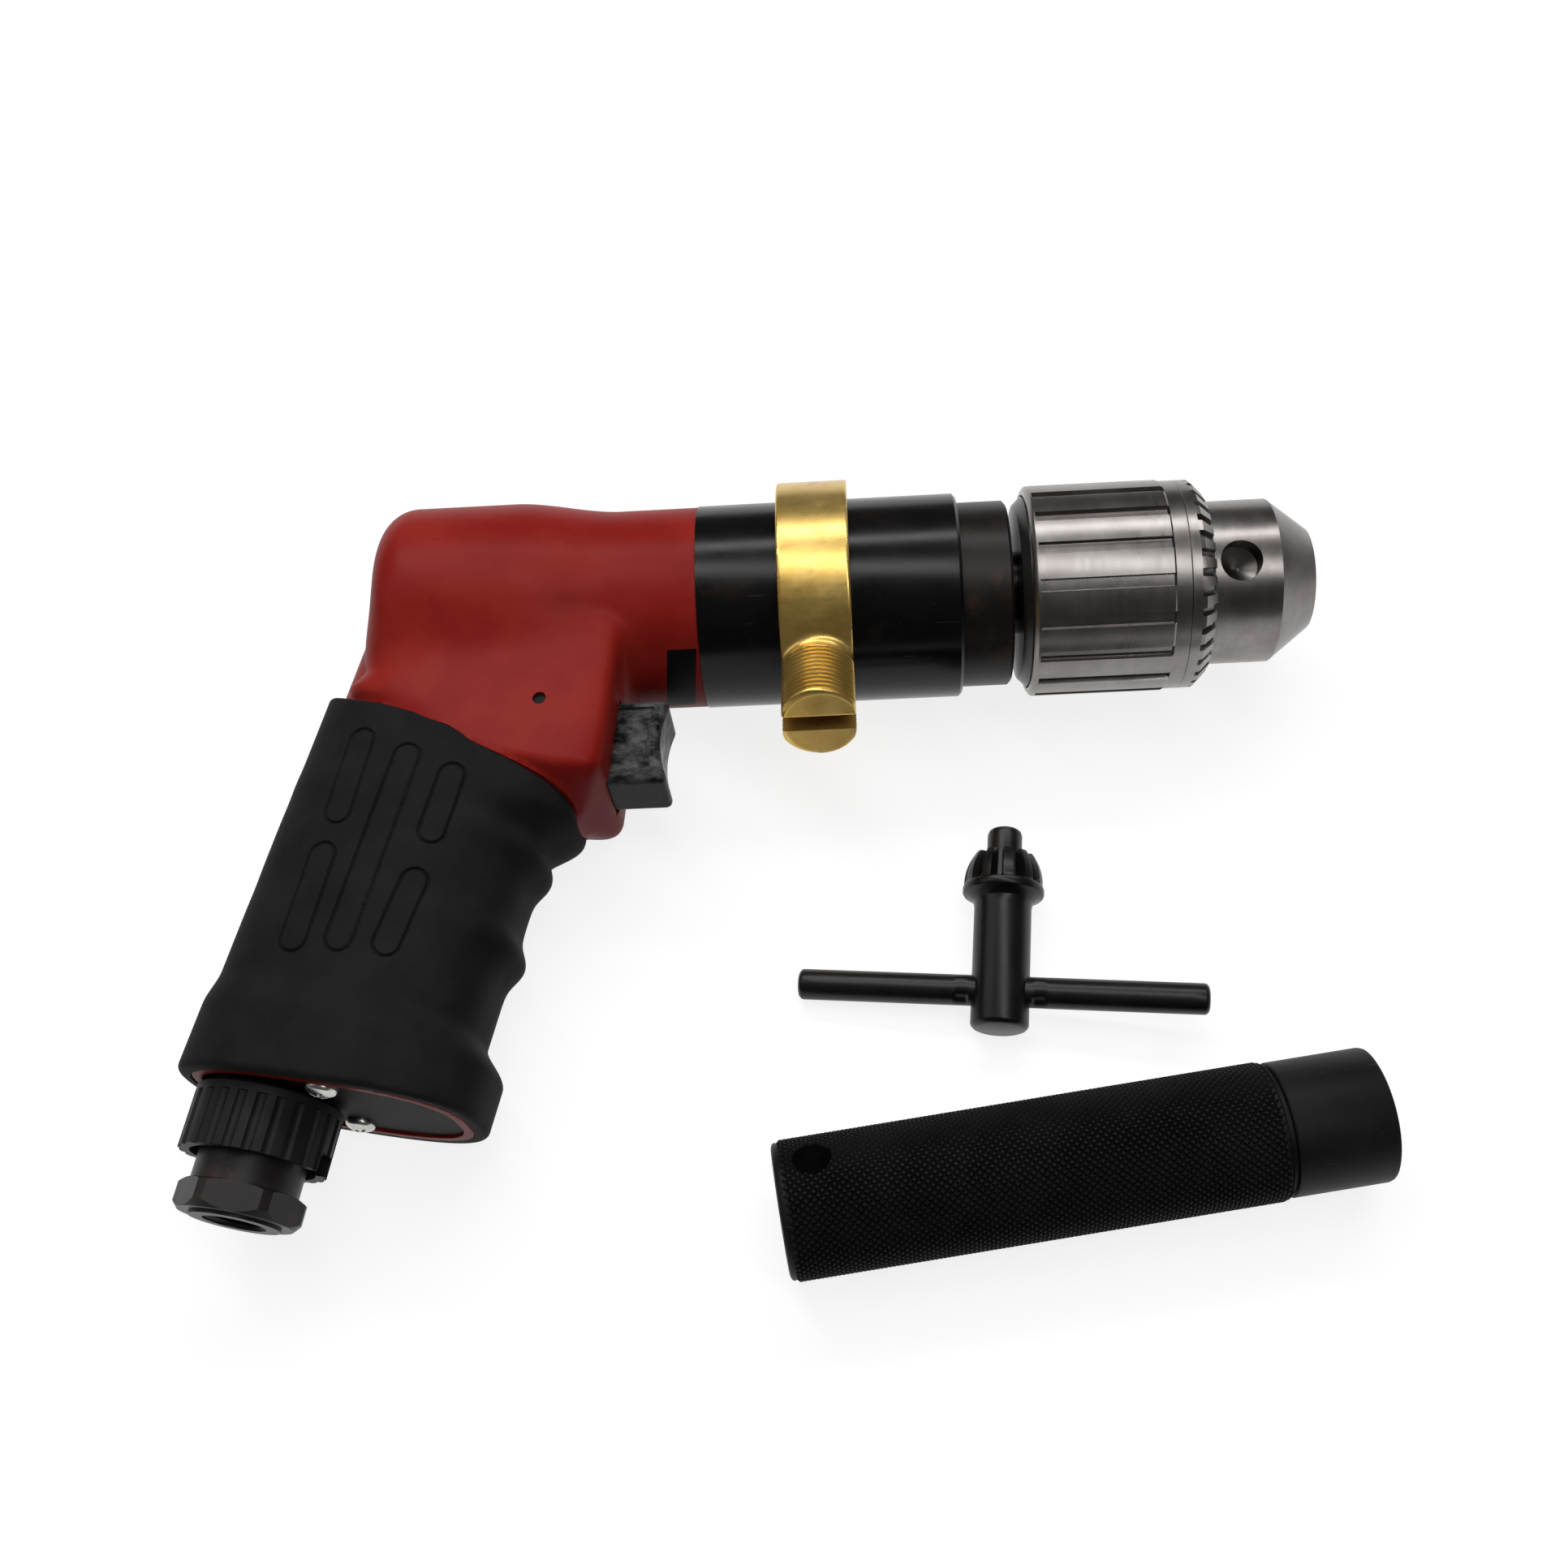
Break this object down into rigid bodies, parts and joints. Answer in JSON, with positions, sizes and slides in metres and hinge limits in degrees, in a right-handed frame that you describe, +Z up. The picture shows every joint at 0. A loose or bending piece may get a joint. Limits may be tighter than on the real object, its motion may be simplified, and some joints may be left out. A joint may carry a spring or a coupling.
{
  "type": "air drill",
  "caption": "Pistol grip air drill with keyed chuck, brass side handle ring, loose knurled side handle and chuck key, lying on its side.",
  "frame": {"origin": "on the table under the middle of everything that lies on it", "axes": "+X along the spindle towards the chuck, +Y from the grip towards the barrel, +Z up from the table"},
  "size_m": [0.218, 0.16, 0.0494],
  "materials": {
    "red_paint": "satin baked enamel",
    "grip_rubber": "matte moulded rubber",
    "black_oxide": "black oxide on turned steel",
    "ground_steel": "satin ground steel",
    "inner_steel": "machined steel",
    "vane_fibre": "laminated fibre",
    "brass": "turned brass",
    "black_plastic": "moulded black plastic",
    "seal_rubber": "nitrile rubber",
    "zinc": "bright zinc plate"
  },
  "bodies": {
    "tool": {"motor_housing": "red_paint", "grip_sleeve": "grip_rubber", "gear_case": "black_oxide", "clamp_nut": "black_oxide", "ring_gear": "inner_steel", "gear_washer": "inner_steel", "bearing_spacer": "inner_steel", "spindle_seal": "seal_rubber", "motor_cylinder": "inner_steel", "rear_end_plate": "inner_steel", "front_end_plate": "inner_steel", "cylinder_dowel": "inner_steel", "rear_motor_bearing": "inner_steel", "front_motor_bearing": "inner_steel", "rear_spindle_bearing": "inner_steel", "front_spindle_bearing": "inner_steel", "valve_bushing": "brass", "trigger_pin": "black_oxide", "valve_spring": "inner_steel", "inlet_bushing": "black_oxide", "inlet_seal": "seal_rubber", "inlet_screen": "zinc", "base_plate": "black_plastic", "base_screws": "zinc"},
    "rotor": {"rotor": "inner_steel", "rotor_vanes": "vane_fibre", "rotor_races": "inner_steel", "rotor_pinion": "inner_steel"},
    "carrier": {"stage_1_carrier": "inner_steel", "stage_1_pins": "inner_steel"},
    "output": {"spindle": "inner_steel", "stage_2_pins": "inner_steel", "spindle_races": "inner_steel", "spindle_spacer": "black_oxide", "chuck_body": "ground_steel"},
    "chuck_key_sleeve": {"chuck_sleeve": "ground_steel", "chuck_nut": "inner_steel"},
    "trigger_unit": {"trigger": "black_plastic", "throttle_valve": "inner_steel", "valve_seal": "seal_rubber"},
    "deflector": {"exhaust_deflector": "black_plastic"},
    "ring": {"handle_ring": "brass"},
    "loose_handle": {"side_handle": "black_oxide"},
    "loose_key": {"key_shank": "black_oxide", "key_bar": "black_oxide"},
    "stage_1_planet_1": {"stage_1_planet_1": "inner_steel"},
    "stage_1_planet_2": {"stage_1_planet_2": "inner_steel"},
    "stage_1_planet_3": {"stage_1_planet_3": "inner_steel"},
    "stage_2_planet_1": {"stage_2_planet_1": "inner_steel"},
    "stage_2_planet_2": {"stage_2_planet_2": "inner_steel"},
    "stage_2_planet_3": {"stage_2_planet_3": "inner_steel"},
    "jaw_1": {"chuck_jaw_1": "ground_steel"},
    "jaw_2": {"chuck_jaw_2": "ground_steel"},
    "jaw_3": {"chuck_jaw_3": "ground_steel"}
  },
  "joints": [
    {"name": "chuck_spin", "type": "hinge", "parent": "tool", "child": "output", "pos_m": [-0.01385, 0.05526, 0.0247], "axis": [1, 0, 0], "continuous": true},
    {"name": "carrier_spin", "type": "hinge", "parent": "tool", "child": "carrier", "pos_m": [-0.01385, 0.05526, 0.0247], "axis": [1, 0, 0], "continuous": true},
    {"name": "rotor_spin", "type": "hinge", "parent": "tool", "child": "rotor", "pos_m": [-0.01385, 0.05526, 0.0247], "axis": [1, 0, 0], "continuous": true},
    {"name": "stage_1_planet_1_spin", "type": "hinge", "parent": "carrier", "child": "stage_1_planet_1", "pos_m": [-0.01385, 0.06402, 0.0251], "axis": [1, 0, 0], "continuous": true},
    {"name": "stage_1_planet_2_spin", "type": "hinge", "parent": "carrier", "child": "stage_1_planet_2", "pos_m": [-0.01385, 0.05053, 0.03209], "axis": [1, 0, 0], "continuous": true},
    {"name": "stage_1_planet_3_spin", "type": "hinge", "parent": "carrier", "child": "stage_1_planet_3", "pos_m": [-0.01385, 0.05122, 0.01691], "axis": [1, 0, 0], "continuous": true},
    {"name": "stage_2_planet_1_spin", "type": "hinge", "parent": "output", "child": "stage_2_planet_1", "pos_m": [-0.01385, 0.06402, 0.0251], "axis": [1, 0, 0], "continuous": true},
    {"name": "stage_2_planet_2_spin", "type": "hinge", "parent": "output", "child": "stage_2_planet_2", "pos_m": [-0.01385, 0.05053, 0.03209], "axis": [1, 0, 0], "continuous": true},
    {"name": "stage_2_planet_3_spin", "type": "hinge", "parent": "output", "child": "stage_2_planet_3", "pos_m": [-0.01385, 0.05122, 0.01691], "axis": [1, 0, 0], "continuous": true},
    {"name": "sleeve_turn", "type": "hinge", "parent": "output", "child": "chuck_key_sleeve", "pos_m": [-0.01385, 0.05526, 0.0247], "axis": [1, 0, 0], "range_deg": [0, 3273.78]},
    {"name": "jaw_1_slide", "type": "slide", "parent": "output", "child": "jaw_1", "axis": [0.9703, 0.2387, -0.0395], "range_m": [0, 0.02274]},
    {"name": "jaw_2_slide", "type": "slide", "parent": "output", "child": "jaw_2", "axis": [0.9703, -0.0851, 0.2264], "range_m": [0, 0.02274]},
    {"name": "jaw_3_slide", "type": "slide", "parent": "output", "child": "jaw_3", "axis": [0.9703, -0.1535, -0.187], "range_m": [0, 0.02274]},
    {"name": "trigger_slide", "type": "slide", "parent": "tool", "child": "trigger_unit", "axis": [-1, 0, 0], "range_m": [0, 0.005], "stiffness_N_per_m": 1500, "springref_m": -0.004, "deforming": ["valve_spring"]},
    {"name": "deflector_swivel", "type": "hinge", "parent": "tool", "child": "deflector", "pos_m": [-0.09312, -0.04604, 0.02009], "axis": [-0.1822, -0.9822, -0.0447], "continuous": true},
    {"name": "ring_swivel", "type": "hinge", "parent": "tool", "child": "ring", "pos_m": [-0.01385, 0.05526, 0.0247], "axis": [1, 0, 0], "continuous": true},
    {"name": "side_handle_lift", "type": "slide", "parent": "tool", "child": "loose_handle", "axis": [0, 0, 1], "range_m": [0, 0.15]},
    {"name": "chuck_key_lift", "type": "slide", "parent": "tool", "child": "loose_key", "axis": [0, 0, 1], "range_m": [0, 0.15]}
  ],
  "couplings": [
    {"joint": "carrier_spin", "follows": "chuck_spin", "ratio": 4.5},
    {"joint": "rotor_spin", "follows": "chuck_spin", "ratio": 20.25},
    {"joint": "stage_1_planet_1_spin", "follows": "chuck_spin", "ratio": -12.6},
    {"joint": "stage_1_planet_2_spin", "follows": "chuck_spin", "ratio": -12.6},
    {"joint": "stage_1_planet_3_spin", "follows": "chuck_spin", "ratio": -12.6},
    {"joint": "stage_2_planet_1_spin", "follows": "chuck_spin", "ratio": -2.8},
    {"joint": "stage_2_planet_2_spin", "follows": "chuck_spin", "ratio": -2.8},
    {"joint": "stage_2_planet_3_spin", "follows": "chuck_spin", "ratio": -2.8},
    {"joint": "jaw_1_slide", "follows": "sleeve_turn", "m_per_rad": 0.00039789},
    {"joint": "jaw_2_slide", "follows": "sleeve_turn", "m_per_rad": 0.00039789},
    {"joint": "jaw_3_slide", "follows": "sleeve_turn", "m_per_rad": 0.00039789}
  ]
}
